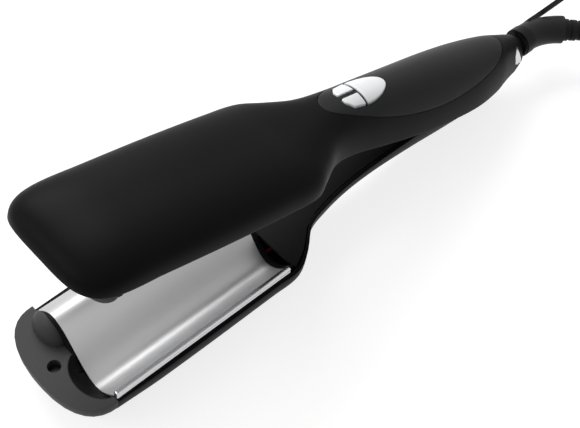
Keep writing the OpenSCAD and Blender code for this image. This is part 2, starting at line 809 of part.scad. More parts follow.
// two-pin plug lying flat, x towards its pins
plug_t = 13.6;
plug_w = 35;
plug_len = 34;
plug_neck = 14;
pins_gap = 18.6;
pins_d = 4;
pins_len = 19;
module plug_frame() {
    hinge_frame()
        translate(plug_out + plug_way * lead_len + [0, 0, plug_rise])
            rotate([0, 0, plug_away]) children();
}
module plug_body() {
    color("black") plug_frame() {
        rod_x(0, cord_d + 3, plug_neck);
        translate([plug_neck, 0, -plug_t / 2])
            linear_extrude(plug_t)
                polygon([[0, -6.5], [8, -plug_w / 2 + 3],
                    [16, -plug_w / 2], [plug_len - 3, -plug_w / 2],
                    [plug_len, -plug_w / 2 + 3], [plug_len, plug_w / 2 - 3],
                    [plug_len - 3, plug_w / 2], [16, plug_w / 2],
                    [8, plug_w / 2 - 3], [0, 6.5]]);
    }
}
module plug_pins() {
    color("gold") plug_frame()
        for (y = [-pins_gap / 2, pins_gap / 2])
            translate([plug_neck + plug_len, y, 0]) {
                rod_x(0, pins_d, pins_len - 1);
                translate([pins_len - 1, 0, 0]) rotate([0, 90, 0])
                    cylinder(d1 = pins_d, d2 = pins_d - 1.6, h = 1);
            }
}

// ---- upper arm ------------------------------------------------------------
upper_boss = [168, 0, head_boss_top];
upper_bosses = [upper_boss, [head_boss[0], 0, head_boss_top]];
panel_low = 7;
nose_low = 6.4;
// lower corners of the tail, cut off so that they clear the collar's side
tail_cut = [[7.6, -0.5], [7.6, 8], [-0.2, 8]];
module upper_shell() {
    body = stations(upper_line, upper_tail, upper_joint);
    inner = inset(body, wall);
    end = body[len(body) - 1];
    to = plate_front + upper_nose;
    color("black") flipped() difference() {
        union() {
            hollow(concat(body, nose_rows(end, to, 4.2, 2.5, nose_low)),
                concat(inner, nose_rows(inner[len(inner) - 1], to - wall,
                    4.2, 2.5, nose_low)), 0.6, shut_front = true);
            for (b = upper_bosses)
                post(b, post_d, at(upper_line, b[0], S_CROWN) - 0.8, b[2]);
        }
        translate([0, 0, -60]) linear_extrude(60 - panel_low)
            panel_outline(0);
        rod_y(pin_d, 40);
        rotate([90, 0, 0]) linear_extrude(60, center = true) polygon(tail_cut);
        for (b = upper_bosses)
            post(b, screw_d, at(upper_line, b[0], S_CROWN) - 1.6, b[2] - 1);
    }
}
cover_least = -0.5;
upper_sink = 0.5;
module upper_handle_cover() {
    color("dimgray") flipped() difference() {
        union() {
            ribbon(upper_line, cover_rear, carrier_rear - side_gap, upper_sink,
                cover_least);
            for (p = board_holes) post(p, post_d, board_z, 0.8);
            post(upper_boss, post_d, upper_boss[2], 3.6);
        }
        for (p = board_holes) post(p, screw_d, 30, board_z - 5.2);
        post(upper_boss, screw_d + 0.4, 30, 0);
        post(upper_boss, screw_head_d + 0.4, upper_boss[2] - 3, 0);
    }
}
// screws from the closed side of the upper arm into the shell's bosses
module upper_screws() {
    color("silver") flipped() {
        translate([-upper_boss[0], 0, 3 - upper_boss[2]]) mirror([0, 0, 1])
            screw_up(6.5);
        translate([-head_boss[0], 0, -head_boss_top + thread_in])
            mirror([0, 0, 1]) cylinder(d = screw_d, h = 2 * thread_in);
    }
}
deck_sink = 0.2;
deck_gap = 1;
deck_deep = 13;
module upper_nose_deck() {
    inner = inset([station(upper_line, upper_joint)], wall + deck_gap)[0];
    to = plate_front + upper_nose - wall - deck_gap;
    at_deck = inner[S_FREE] + deck_sink;
    rows = concat([inner], nose_rows(inner, to, 4.2, 2.5, nose_low,
        short = 0.99));
    color("black") flipped() difference() {
        filled([for (r = rows)
            [r[0], r[1], min(r[2], deck_deep), at_deck, at_deck, r[5]]]);
        translate([-nose_joint, -60, -60]) cube([60, 120, 120]);
        dome_pocket();
        run(plate_front - 1, tongue_tip + side_gap)
            translate([-tongue_half - side_gap, tongue_z[0] - 20])
                square([2 * (tongue_half + side_gap),
                    20 + tongue_z[1] - tongue_z[0]]);
        post([deck_screw, 0], screw_d + 0.3, -tongue_z[1] + 1, 0);
    }
}
module upper_carrier() { color("black") flipped() carrier(); }
module upper_plate() { color("silver") flipped() plate(); }
module upper_rail() { color("lightgray") flipped() rail(); }
module upper_dome() {
    color("gray") flipped()
        dome(at(upper_line, upper_joint, S_FREE) + deck_sink);
}
module upper_heater() { color("white") flipped() heater(); }
module upper_heater_clip() { color("silver") flipped() heater_clip(); }
module upper_thermistor() { color("orange") flipped() thermistor(); }
fuse_d = 3.6;
fuse_len = 10;
module thermal_fuse() {
    color("silver") flipped()
        translate([-heater_from - 1, -heater_half - fuse_d / 2,
            seat_z - heater_t / 2 - 0.4])
            rod_x(-fuse_len, fuse_d, fuse_len);
}

// outline of the inset panel in plan: two halves of superellipses
panel_wide = 80;
panel_front_s = 161;
panel_rear_s = 19;
panel_half = 17.4;
panel_n = 14;
function panel_front(u) = panel_half * (1 - u^1.6)^0.38;
function panel_rear(u) = panel_half * (1 - u^2)^0.38;
function panel_side(less) = concat(
    [for (i = [0:panel_n])
        let (u = cos(90 * i / panel_n))
        [-panel_wide - (panel_front_s - less - panel_wide) * u,
         max(0, panel_front(u) - less)]],
    [for (i = [1:panel_n])
        let (u = sin(90 * i / panel_n))
        [-panel_wide + (panel_wide - panel_rear_s - less) * u,
         max(0, panel_rear(u) - less)]]);
module panel_outline(less) {
    side = panel_side(less);
    n = len(side);
    polygon(concat(side,
        [for (i = [n - 2:-1:1]) [side[i][0], -side[i][1]]]));
}
// layer of the upper shell's crown, from above its surface to below it
module crown_layer(from, to, over, under) {
    rows = stations(upper_line, from, to);
    rotate([180, 0, 0]) hollow(inset(rows, -over), inset(rows, under));
}
BUTTONS = ["power", "plus", "minus"];
module handle_panel() {
    color("dimgray") upper_frame() difference() {
        intersection() {
            crown_layer(8, panel_front_s + 4, 0, panel_t);
            translate([0, 0, panel_low]) linear_extrude(40)
                panel_outline(seam);
        }
        for (b = BUTTONS)
            linear_extrude(60) button_outline(b, button_fit);
    }
}

// outlines of the buttons in plan, grown all round by a margin
group_front = 149.5;
group_split = 138;
group_back = 118.5;
power_steps = 14;
module button_outline(which, grow) {
    inner = slot / 2 - grow;
    outer = group_half + grow;
    if (which == "power") {
        x = -group_split + inner;
        len = -group_back + grow - x;
        polygon([for (i = [0:power_steps])
            let (a = 90 - 180 * i / power_steps)
            [x + len * cos(a), outer * sin(a)]]);
    } else {
        side = which == "plus" ? 1 : -1;
        rear = -group_split - inner;
        front = -group_front - grow;
        polygon([for (p = [[rear, inner], [rear, outer],
            [front + 3.4, outer - 0.8], [front, outer - 4.2],
            [front, inner]]) [p[0], side * p[1]]]);
    }
}
button_low = 15.6;
button_rim_t = 1.2;
button_rim = 0.5;
stem_d = 3;
module button(i) {
    upper_frame() {
        intersection() {
            crown_layer(108, group_front + 4, proud, 3.6);
            translate([0, 0, button_low]) linear_extrude(20)
                button_outline(BUTTONS[i], 0);
        }
        translate([0, 0, button_low]) {
            linear_extrude(4) button_outline(BUTTONS[i], 0);
            linear_extrude(button_rim_t)
                button_outline(BUTTONS[i], button_rim);
        }
        translate([-switch_at[i][0], switch_at[i][1], stem_z])
            cylinder(d = stem_d, h = button_low - stem_z + 0.5);
    }
}
module power_button() { color("white") button(0); }
module plus_button() { color("white") button(1); }
module minus_button() { color("white") button(2); }

// circuit board on the cover's posts, with a switch under each button
board_z = 8;
board_t = 1.6;
board_half = 9;
board_holes = [[82, 0], [108, 0]];
switch_at = [[126, 0], [143, 4.6], [143, -4.6]];
board_edge = [6, 7];
board_span = [board_holes[0][0] - board_edge[0],
    switch_at[1][0] + board_edge[1]];
switch_body = 5.2;
switch_h = 3.4;
stem_z = board_z + board_t + switch_h + travel + 0.05;
module circuit_board() {
    color("green") upper_frame() difference() {
        translate([-board_span[1], -board_half, board_z])
            cube([board_span[1] - board_span[0], 2 * board_half, board_t]);
        for (p = board_holes)
            translate([-p[0], p[1], 0]) cylinder(d = screw_d, h = 20);
    }
}
module tact_switches() {
    color("silver") upper_frame()
        for (p = switch_at)
            translate([-p[0], p[1], board_z + board_t]) {
                translate([-switch_body / 2, -switch_body / 2, 0])
                    cube([switch_body, switch_body, switch_h - 0.8]);
                cylinder(d = 2.6, h = switch_h);
            }
}
module board_screws() {
    color("silver") upper_frame()
        for (p = board_holes)
            translate([-p[0], p[1], board_z + board_t]) {
                cylinder(d = 4.4, h = 1.4);
                translate([0, 0, -5]) cylinder(d = screw_d, h = 5);
            }
}
// routes in the upper arm's crown-down frame
function upper_wire(side) =
    let (leave = board_span[1] + 8, dip = plate_rear - 4,
         third = (dip - leave) / 2.8)
    [[-board_span[1] + 4, side, -board_z - board_t - wire_d / 2],
     [-board_span[1], side, -board_z - board_t - wire_d / 2],
     [-leave, side, -12], [-leave - third, 1.1 * side, -14.6],
     [-leave - 2 * third, 1.1 * side, -15.9], [-dip, 1.1 * side, wire_floor],
     [-plate_rear - 7, side, wire_floor],
     [-plate_rear - 11.5, side / 2, heater_mid - 1],
     [2 - heater_from, side / 2, heater_mid],
     [-heater_from, side / 2, heater_mid]];
function upper_supply(side) = [
    [-board_span[0] - 3, side, -board_z - board_t - wire_d / 2],
    [-board_span[0] + 4, side, -board_z - board_t - wire_d / 2],
    [-60, side, -10], [-45, side, -9], [-30, side, -7.4], [-18, side, -6]];
module upper_wires() {
    color("red") flipped()
        for (side = [-5.8, 5.8]) {
            tube(upper_wire(side), wire_d);
            tube(upper_supply(0.9 * side), wire_d);
        }
}

lower_shell();
lower_handle_cover();
lower_nose_cap();
nose_screw();
lower_carrier();
lower_plate();
lower_rail();
lower_dome();
lower_heater();
lower_heater_clip();
lower_thermistor();
lower_screws();
lower_wires();
hinge_bracket();
hinge_bushes();
hinge_spring();
swivel_collar();
hinge_pin();
upper_shell();
upper_handle_cover();
upper_nose_deck();
upper_carrier();
upper_plate();
upper_rail();
upper_dome();
upper_heater();
upper_heater_clip();
upper_thermistor();
thermal_fuse();
upper_screws();
upper_wires();
handle_panel();
circuit_board();
tact_switches();
board_screws();
power_button();
plus_button();
minus_button();
swivel_barrel();
cord_sleeve();
strain_relief();
cord_tube();
cord_coil();
plug_body();
plug_pins();
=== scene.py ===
import math

import bmesh
import bpy
from mathutils import Matrix, Vector


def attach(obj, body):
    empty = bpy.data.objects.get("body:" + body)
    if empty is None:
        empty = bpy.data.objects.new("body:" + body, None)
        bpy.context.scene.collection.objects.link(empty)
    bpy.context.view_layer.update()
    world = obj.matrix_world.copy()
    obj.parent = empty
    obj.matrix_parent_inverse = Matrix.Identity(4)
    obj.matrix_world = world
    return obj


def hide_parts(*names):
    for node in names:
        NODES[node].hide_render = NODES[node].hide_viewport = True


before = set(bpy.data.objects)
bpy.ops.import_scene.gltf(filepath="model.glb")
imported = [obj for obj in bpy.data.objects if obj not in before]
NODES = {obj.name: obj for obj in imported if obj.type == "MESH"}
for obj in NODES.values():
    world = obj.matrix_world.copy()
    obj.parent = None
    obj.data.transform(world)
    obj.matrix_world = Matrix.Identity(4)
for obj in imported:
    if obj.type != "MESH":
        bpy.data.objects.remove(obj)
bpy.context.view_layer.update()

# ---- sizes, in mm, as in the CAD ------------------------------------------
PLATE_W, PLATE_LEN, PLATE_FRONT = 54.0, 100.0, 290.0
PLATE_REAR = PLATE_FRONT - PLATE_LEN
PLATE_T, WAVE_H, FACE = 1.6, 11.0, 0.5
HEAD_W, HEAD_D, WALL = 62.0, 21.0, 1.8
HANDLE_W, HANDLE_D, GRIP_W, GRIP_D = 39.0, 22.4, 22.0, 20.5
OPEN = math.radians(13.3)
COLLAR_Z = 3.5
SLEEVE_AT, SLEEVE_R, SLEEVE_TURN = 16.0, 35.0, 42.0
RELIEF_LEN, CORD_D = 38.0, 6.0
LOOP_X, LOOP_IN, LOOP_BAND = 46.0, 18.0, 3.0
TIP = 309.5
HX = (TIP - LOOP_X - LOOP_IN / 2 - LOOP_BAND) / 2
HZ = HEAD_D
NOSE_JOINT = PLATE_FRONT + 0.2
UPPER_NOSE, NOSE_LOW = 19.0, 6.4
RAIL_RIM, FREE_RIM = 1.0, 4.4

# frames: the lower arm's, the upper arm's, and the upper arm's turned over so
# that both arms are built crown down
MM = Matrix.Scale(0.001, 4)
LOWER = MM @ Matrix.Translation((HX, 0, HZ))
UPPER = LOWER @ Matrix.Rotation(OPEN, 4, "Y")
FLIPPED = UPPER @ Matrix.Rotation(math.pi, 4, "X")

# stations: distance ahead, half width, crown, rail rim, free rim, roundness
LOWER_LINE = [
    (8, 0.39 * GRIP_W, 0.64 * GRIP_D, 1, 1, 2.4),
    (30, GRIP_W / 2 - 0.4, 0.94 * GRIP_D, 1, 1, 2.4),
    (52, GRIP_W / 2 - 1.6, GRIP_D, 1, 1, 2.3),
    (80, GRIP_W / 2 - 2, GRIP_D - 3.5, 1, 1, 2.2),
    (110, GRIP_W / 2 - 2.2, GRIP_D - 6.5, 1, 1, 2.2),
    (132, GRIP_W / 2 - 1.4, GRIP_D - 7, 1, 1, 2.3),
    (150, GRIP_W / 2 + 1, GRIP_D - 5.5, 1, 1, 2.4),
    (164, 15.8, 16.5, 1, 1.6, 2.6),
    (176, 25.3, 18.8, RAIL_RIM, 3, 2.7),
    (186, 30.8, 20, RAIL_RIM, FREE_RIM, 2.7),
    (200, HEAD_W / 2, HEAD_D, RAIL_RIM, FREE_RIM, 2.7),
    (NOSE_JOINT - 25, HEAD_W / 2, HEAD_D, RAIL_RIM, FREE_RIM, 2.7),
    (NOSE_JOINT, HEAD_W / 2 - 0.6, HEAD_D - 2, RAIL_RIM, FREE_RIM, 2.6),
]
UPPER_JOINT, TAIL = PLATE_FRONT - 14, -7
UPPER_LINE = [
    (TAIL, 8.1, 10.4, -5.5, -5.5, 2.2),
    (0, 9.2, 13, -6, -6, 2.2),
    (10, 11.6, 15.5, -6, -6, 2.1),
    (24, 15.4, 18, -6, -6, 2.1),
    (45, 0.48 * HANDLE_W, HANDLE_D - 2.8, -6, -6, 2.1),
    (70, HANDLE_W / 2, HANDLE_D - 1.2, -5.5, -5.5, 2.1),
    (100, HANDLE_W / 2 - 0.7, HANDLE_D, -4, -4, 2.1),
    (125, HANDLE_W / 2 - 2, HANDLE_D + 0.6, -1.5, -1.5, 2.2),
    (148, HANDLE_W / 2 - 2.6, HANDLE_D + 0.6, 1, 2, 2.3),
    (164, HANDLE_W / 2 - 0.6, HANDLE_D - 0.7, 1, FREE_RIM - 0.6, 2.6),
    (177, 25.4, HANDLE_D - 2, RAIL_RIM, FREE_RIM, 2.8),
    (187, 30.2, HANDLE_D - 2.8, RAIL_RIM, FREE_RIM, 3),
    (204, HEAD_W / 2, HEAD_D - 0.8, RAIL_RIM, FREE_RIM, 3),
    (240, HEAD_W / 2, HEAD_D - 0.2, RAIL_RIM, FREE_RIM + 0.6, 3),
    (UPPER_JOINT, HEAD_W / 2 - 0.6, HEAD_D - 0.4, RAIL_RIM, FREE_RIM + 1.6, 3),
]


# ---- lofts ----------------------------------------------------------------
def at(t, s, c):
    """Column c of a table of stations, on a smooth curve at the distance s."""
    i = 0
    while i < len(t) - 2 and s >= t[i + 1][0]:
        i += 1

    def slope(j):
        a, b = max(j - 1, 0), min(j + 1, len(t) - 1)
        return (t[b][c] - t[a][c]) / (t[b][0] - t[a][0])

    h = t[i + 1][0] - t[i][0]
    u = (s - t[i][0]) / h
    return ((2 * u**3 - 3 * u**2 + 1) * t[i][c]
            + (u**3 - 2 * u**2 + u) * h * slope(i)
            + (3 * u**2 - 2 * u**3) * t[i + 1][c]
            + (u**3 - u**2) * h * slope(i + 1))


def station(t, s):
    return [s] + [at(t, s, c) for c in range(1, 6)]


def stations(t, start, end, pitch=2.5):
    n = max(1, round((end - start) / pitch))
    return [station(t, start + (end - start) * i / n) for i in range(n + 1)]


def nose_rows(st, to, plan, side, low, n=24, short=0.9995):
    """Stations that round a shell off ahead of the station st."""
    rows = []
    for i in range(1, n + 1):
        u = short * math.sin(math.pi / 2 * i / n)
        p = (1 - u**plan) ** (1 / plan)
        q = (1 - u**side) ** (1 / side)
        rows.append([st[0] + (to - st[0]) * u, st[1] * p,
                     low + (st[2] - low) * q, st[3] + (low - st[3]) * u**3,
                     st[4] + (low - st[4]) * u**3, st[5]])
    return rows


def inset(rows, t):
    """The stations of a surface that lies t further in."""
    return [[r[0], r[1] - t, r[2] - t, r[3], r[4], r[5]] for r in rows]


COLS = 72
INNER_FLAT = 0.6


def section_point(r, k, flat=0.0):
    """Point k of a station's section, from rim to rim, crown down."""
    a = -math.pi / 2 + math.pi * k / COLS
    y = r[1] * math.copysign(abs(math.sin(a)) ** (2 / r[5]), a)
    if k in (0, COLS):
        y, c = math.copysign(r[1], a), 0.0
    else:
        c = math.cos(a) ** (2 / r[5])
    rim = r[3] if a < 0 else r[4]
    return (-r[0], y, -min(rim + (r[2] + flat - rim) * c, r[2]))


def crown(x, y, proud=0.0):
    """Height of the upper shell over a place of the upper arm, crown up."""
    r = station(UPPER_LINE, -x)
    rim = r[3] if y > 0 else r[4]
    u = min(1.0, abs(y) / r[1])
    return rim + (r[2] - rim) * (1 - u ** r[5]) ** (1 / r[5]) + proud


# ---- mesh helpers ---------------------------------------------------------
def new_mesh(name, verts, faces, matrix, mat=None, angle=38.0):
    me = bpy.data.meshes.new(name)
    me.from_pydata([matrix @ Vector(v) for v in verts], [], faces)
    bm = bmesh.new()
    bm.from_mesh(me)
    bmesh.ops.remove_doubles(bm, verts=bm.verts, dist=2e-6)
    bmesh.ops.recalc_face_normals(bm, faces=bm.faces)
    bm.to_mesh(me)
    bm.free()
    smooth(me, angle)
    ob = bpy.data.objects.new(name, me)
    bpy.context.scene.collection.objects.link(ob)
    if mat:
        me.materials.append(mat)
    return ob


def smooth(me, angle=38.0):
    me.polygons.foreach_set("use_smooth", [True] * len(me.polygons))
    me.set_sharp_from_angle(angle=math.radians(angle))


def bake(ob, angle=38.0):
    """Applies the modifiers."""
    dg = bpy.context.evaluated_depsgraph_get()
    me = bpy.data.meshes.new_from_object(ob.evaluated_get(dg))
    ob.modifiers.clear()
    old = ob.data
    ob.data = me
    bpy.data.meshes.remove(old)
    smooth(me, angle)
    return ob


def bevel(ob, width, segments=2, angle=40.0):
    m = ob.modifiers.new("bevel", "BEVEL")
    m.width = width / 1000
    m.segments = segments
    m.limit_method = "ANGLE"
    m.angle_limit = math.radians(angle)
    m.use_clamp_overlap = True
    return ob


def cut(ob, tool, op="DIFFERENCE"):
    m = ob.modifiers.new("cut", "BOOLEAN")
    m.operation = op
    m.solver = "EXACT"
    m.object = tool
    bake(ob)
    me = tool.data
    bpy.data.objects.remove(tool)
    bpy.data.meshes.remove(me)
    return ob


def shell(name, outer, inner, matrix, mat, shut_rear=False, shut_front=False):
    """Wall between two lofts over the same number of stations."""
    n, w = len(outer), COLS + 1
    b = n * w
    verts = [section_point(r, k) for r in outer for k in range(w)]
    verts += [section_point(r, k, INNER_FLAT) for r in inner for k in range(w)]
    faces = []
    for base in (0, b):
        for i in range(n - 1):
            for k in range(COLS):
                a = base + i * w + k
                faces.append((a, a + 1, a + w + 1, a + w))
    for i in range(n - 1):
        for k in (0, COLS):
            a = i * w + k
            faces.append((a, a + w, b + a + w, b + a))
    for row, shut in ((0, shut_rear), (n - 1, shut_front)):
        a = row * w
        if shut:
            faces.append(tuple(a + k for k in range(w)))
            faces.append(tuple(b + a + k for k in range(w)))
            faces.append((a, a + COLS, b + a + COLS, b + a))
        else:
            faces += [(a + k, a + k + 1, b + a + k + 1, b + a + k)
                      for k in range(COLS)]
    return new_mesh(name, verts, faces, matrix, mat)


def solid_grid(name, rows, matrix, mat, angle=38.0):
    """Loft of equal rings, ends closed."""
    n, w = len(rows), len(rows[0])
    verts = [p for r in rows for p in r]
    faces = [tuple(range(w)), tuple((n - 1) * w + k for k in range(w))]
    for i in range(n - 1):
        for k in range(w):
            a, c = i * w + k, i * w + (k + 1) % w
            faces.append((a, c, c + w, a + w))
    return new_mesh(name, verts, faces, matrix, mat, angle)


def prism(name, outline, z0, z1, matrix):
    return solid_grid(name, [[(x, y, z) for x, y in outline]
                             for z in (z0, z1)], matrix, None)


def across(name, outline, matrix, reach=30):
    """Prism along Y over an outline in X and Z."""
    return solid_grid(name, [[(x, y, z) for x, z in outline]
                             for y in (-reach, reach)], matrix, None)


def patch(name, outline, centre, height, matrix, mat, edge=0.6, depth=2.0,
          rings=14):
    """Solid under a curved surface inside a star-shaped outline, with a
    rounded top edge; height(x, y) is the surface."""
    cx, cy = centre
    rows = [[(x, y, height(x, y) - depth) for x, y in outline]]
    for step in (0.0, 0.08, 0.2, 0.35, 0.55, 0.8, 1.0):
        d = edge * step
        drop = edge - math.sqrt(max(0.0, edge**2 - (edge - d) ** 2))
        ring = []
        for x, y in outline:
            f = 1 - d / math.dist((x, y), centre)
            px, py = cx + (x - cx) * f, cy + (y - cy) * f
            ring.append((px, py, height(px, py) - drop))
        rows.append(ring)
    for i in range(1, rings):
        u = i / rings
        ring = []
        for x, y in outline:
            f = (1 - edge / math.dist((x, y), centre)) * (1 - u)
            px, py = cx + (x - cx) * f, cy + (y - cy) * f
            ring.append((px, py, height(px, py)))
        rows.append(ring)
    n, w = len(rows), len(outline)
    verts = [p for r in rows for p in r] + [(cx, cy, height(cx, cy))]
    faces = [tuple(range(w))]
    for i in range(n - 1):
        for k in range(w):
            a, c = i * w + k, i * w + (k + 1) % w
            faces.append((a, c, c + w, a + w))
    top = len(verts) - 1
    faces += [((n - 1) * w + k, (n - 1) * w + (k + 1) % w, top)
              for k in range(w)]
    return new_mesh(name, verts, faces, matrix, mat)


# ---- materials ------------------------------------------------------------
def material(name, color, rough, metallic=0.0, grain=None, bump=0.0,
             mottle=0.0, coat=0.0, spec=0.5, stretch=(1, 1, 1)):
    """Plain surface; noise of the scale grain gives it bumps and mottles its
    roughness."""
    m = bpy.data.materials.new(name)
    m.use_nodes = True
    nt = m.node_tree
    p = nt.nodes["Principled BSDF"]
    p.inputs["Base Color"].default_value = (*color, 1)
    p.inputs["Roughness"].default_value = rough
    p.inputs["Metallic"].default_value = metallic
    p.inputs["Coat Weight"].default_value = coat
    p.inputs["Coat Roughness"].default_value = 0.12
    p.inputs["Specular IOR Level"].default_value = spec
    if grain:
        tc = nt.nodes.new("ShaderNodeTexCoord")
        mp = nt.nodes.new("ShaderNodeMapping")
        mp.inputs["Scale"].default_value = stretch
        nz = nt.nodes.new("ShaderNodeTexNoise")
        nz.inputs["Scale"].default_value = grain
        nz.inputs["Detail"].default_value = 4.0
        nt.links.new(tc.outputs["Object"], mp.inputs["Vector"])
        nt.links.new(mp.outputs["Vector"], nz.inputs["Vector"])
        if bump:
            bp = nt.nodes.new("ShaderNodeBump")
            bp.inputs["Strength"].default_value = bump
            bp.inputs["Distance"].default_value = 0.0003
            nt.links.new(nz.outputs["Fac"], bp.inputs["Height"])
            nt.links.new(bp.outputs["Normal"], p.inputs["Normal"])
        if mottle:
            mr = nt.nodes.new("ShaderNodeMapRange")
            mr.inputs["To Min"].default_value = rough - mottle
            mr.inputs["To Max"].default_value = rough + mottle
            nt.links.new(nz.outputs["Fac"], mr.inputs["Value"])
            nt.links.new(mr.outputs["Result"], p.inputs["Roughness"])
    return m


SOFT = material("soft black", (0.003, 0.003, 0.0033), 0.45, grain=900,
                bump=0.1, mottle=0.03, spec=0.05)
COVER = material("cover black", (0.006, 0.006, 0.0065), 0.5, grain=1400,
                 bump=0.2, mottle=0.05, spec=0.06)
CARRIER = material("carrier black", (0.006, 0.006, 0.0065), 0.55, grain=1200,
                   bump=0.25, mottle=0.05, spec=0.06)
NOSE = material("nose grey", (0.058, 0.058, 0.06), 0.5, grain=1500, bump=0.2,
                mottle=0.05, spec=0.1)
PLATE = material("brushed aluminium", (0.5, 0.5, 0.505), 0.5, metallic=1.0,
                 grain=420, bump=0.02, mottle=0.04, stretch=(0.03, 6, 6))
RAIL = material("polished rail", (0.6, 0.6, 0.61), 0.25, metallic=1.0,
                grain=300, mottle=0.04, stretch=(0.05, 4, 4))
STEEL = material("bright steel", (0.66, 0.66, 0.68), 0.25, metallic=1.0,
                 grain=500, mottle=0.06)
WIRE_STEEL = material("spring steel", (0.42, 0.42, 0.44), 0.35, metallic=1.0,
                      grain=500, mottle=0.06)
DARK_STEEL = material("dark steel", (0.012, 0.012, 0.013), 0.4, grain=600,
                      mottle=0.05, spec=0.2)
BRONZE = material("bronze", (0.6, 0.42, 0.2), 0.38, metallic=1.0, grain=600,
                  mottle=0.06)
CERAMIC = material("ceramic", (0.82, 0.81, 0.78), 0.6, grain=900, bump=0.15)
AMBER = material("amber bead", (0.6, 0.28, 0.05), 0.15, coat=0.5, grain=300,
                 mottle=0.03)
WIRE = material("wire sleeve", (0.5, 0.04, 0.03), 0.5, grain=700, mottle=0.05)
PANEL = material("panel grey", (0.014, 0.014, 0.0145), 0.45, grain=1100,
                 bump=0.1, mottle=0.04, spec=0.1)
BOARD = material("board", (0.03, 0.2, 0.08), 0.45, grain=500, mottle=0.08)
WHITE = material("button white", (0.82, 0.83, 0.84), 0.35, coat=0.15,
                 grain=600, mottle=0.03)
GLOSS = material("collar black", (0.005, 0.005, 0.0055), 0.4, grain=500,
                 mottle=0.03, spec=0.12)
SLEEVE = material("sleeve grey", (0.012, 0.012, 0.013), 0.42, grain=1000,
                  bump=0.1, mottle=0.05, spec=0.15)
RUBBER = material("relief rubber", (0.008, 0.008, 0.009), 0.5, grain=1200,
                  bump=0.2, mottle=0.05, spec=0.12)
SHEATH = material("cord sheath", (0.02, 0.02, 0.022), 0.42, grain=900,
                  bump=0.12, mottle=0.05)
PLUG = material("plug black", (0.02, 0.02, 0.022), 0.48, grain=1200,
                bump=0.2, mottle=0.05)
PINS = material("plated pins", (0.78, 0.78, 0.79), 0.2, metallic=1.0,
                grain=400, mottle=0.04)


def painted_shade_inside(mat, name, centre, radii, color):
    """Copy of a material with painted shade: darker inside an ellipsoid."""
    m = mat.copy()
    m.name = name
    nt = m.node_tree
    tc = nt.nodes.new("ShaderNodeTexCoord")
    mp = nt.nodes.new("ShaderNodeMapping")
    mp.vector_type = "TEXTURE"
    mp.inputs["Location"].default_value = centre
    mp.inputs["Scale"].default_value = radii
    out = nt.nodes.new("ShaderNodeVectorMath")
    out.operation = "LENGTH"
    out_of = nt.nodes.new("ShaderNodeMapRange")
    out_of.inputs["From Min"].default_value = 0.98
    out_of.inputs["From Max"].default_value = 1.03
    mix = nt.nodes.new("ShaderNodeMix")
    mix.data_type = "RGBA"
    base = nt.nodes["Principled BSDF"].inputs["Base Color"]
    mix.inputs["A"].default_value = (*color, 1)
    mix.inputs["B"].default_value = base.default_value[:]
    nt.links.new(tc.outputs["Object"], mp.inputs["Vector"])
    nt.links.new(mp.outputs["Vector"], out.inputs[0])
    nt.links.new(out.outputs["Value"], out_of.inputs["Value"])
    nt.links.new(out_of.outputs["Result"], mix.inputs["Factor"])
    nt.links.new(mix.outputs["Result"], base)
    return m


# painted shade: the pocket for the other arm's dome lies in deep shade, so the
# cap's colour is painted darker inside it
POCKET = LOWER @ Vector((1 - PLATE_FRONT, -PLATE_W / 4, 2.67))
POCKET_RADII_M = (0.0106, 0.0143, 0.0143)
# the cap's grey with painted shade in the pocket
CAP = painted_shade_inside(NOSE, "nose grey, painted pocket shade", tuple(POCKET),
                      POCKET_RADII_M, (0.004, 0.004, 0.004))


def place(ob, body, slot, *nodes):
    """Puts a new piece on its body, in place of its CAD nodes."""
    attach(ob, body)
    if nodes:
        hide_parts(*nodes)
    return ob


def keep(node, mat, width=0.2, angle=40.0):
    """CAD node that stays, with softened edges and a better material."""
    ob = NODES[node]
    ob.data.materials.clear()
    ob.data.materials.append(mat)
    smooth(ob.data, 30.0)
    weld = ob.modifiers.new("weld", "WELD")
    weld.merge_threshold = 2e-6
    if width:
        bevel(ob, width, 2, angle)
    wn = ob.modifiers.new("normals", "WEIGHTED_NORMAL")
    wn.keep_sharp = True
    return ob


# ---- outlines in plan, upper arm, crown up --------------------------------
PANEL_WIDE, PANEL_FRONT, PANEL_REAR, PANEL_HALF = 80.0, 161.0, 19.0, 17.4
SEAM, PANEL_LOW, CUT_TOP = 0.25, 7.0, 60
FRONT_POWER, PANEL_POWER = 1.6, 0.38


def panel_outline(less, n=70):
    """The panel's outline, drawn in by less all round."""
    side = []
    for i in range(n + 1):
        u = math.cos(math.pi / 2 * i / n)
        half = PANEL_HALF * (1 - u**FRONT_POWER) ** PANEL_POWER
        side.append((-PANEL_WIDE - (PANEL_FRONT - less - PANEL_WIDE) * u,
                     max(0.0, half - less)))
    for i in range(1, n + 1):
        u = math.sin(math.pi / 2 * i / n)
        half = PANEL_HALF * (1 - u * u) ** PANEL_POWER
        side.append((-PANEL_WIDE + (PANEL_WIDE - PANEL_REAR - less) * u,
                     max(0.0, half - less)))
    return side + [(x, -y) for x, y in side[-2:0:-1]]


GROUP_FRONT, GROUP_SPLIT, GROUP_BACK = 149.5, 138.0, 118.5
GROUP_HALF, SLOT = 8.0, 1.6
BUTTON_GAP, PROUD = 0.3, 0.7


def rounded(points, r, n=6):
    """Polygon with round corners of the radius r."""
    out = []
    m = len(points)
    for i, p in enumerate(points):
        a, c = points[i - 1], points[(i + 1) % m]
        v1 = Vector((a[0] - p[0], a[1] - p[1]))
        v2 = Vector((c[0] - p[0], c[1] - p[1]))
        ang = v1.angle(v2)
        t = min(r / math.tan(ang / 2), 0.45 * v1.length, 0.45 * v2.length)
        v1.normalize()
        v2.normalize()
        p0, p1 = Vector(p) + v1 * t, Vector(p) + v2 * t
        for k in range(n + 1):
            u = k / n
            q = (1 - u) ** 2 * p0 + 2 * u * (1 - u) * Vector(p) + u * u * p1
            out.append((q.x, q.y))
    return out


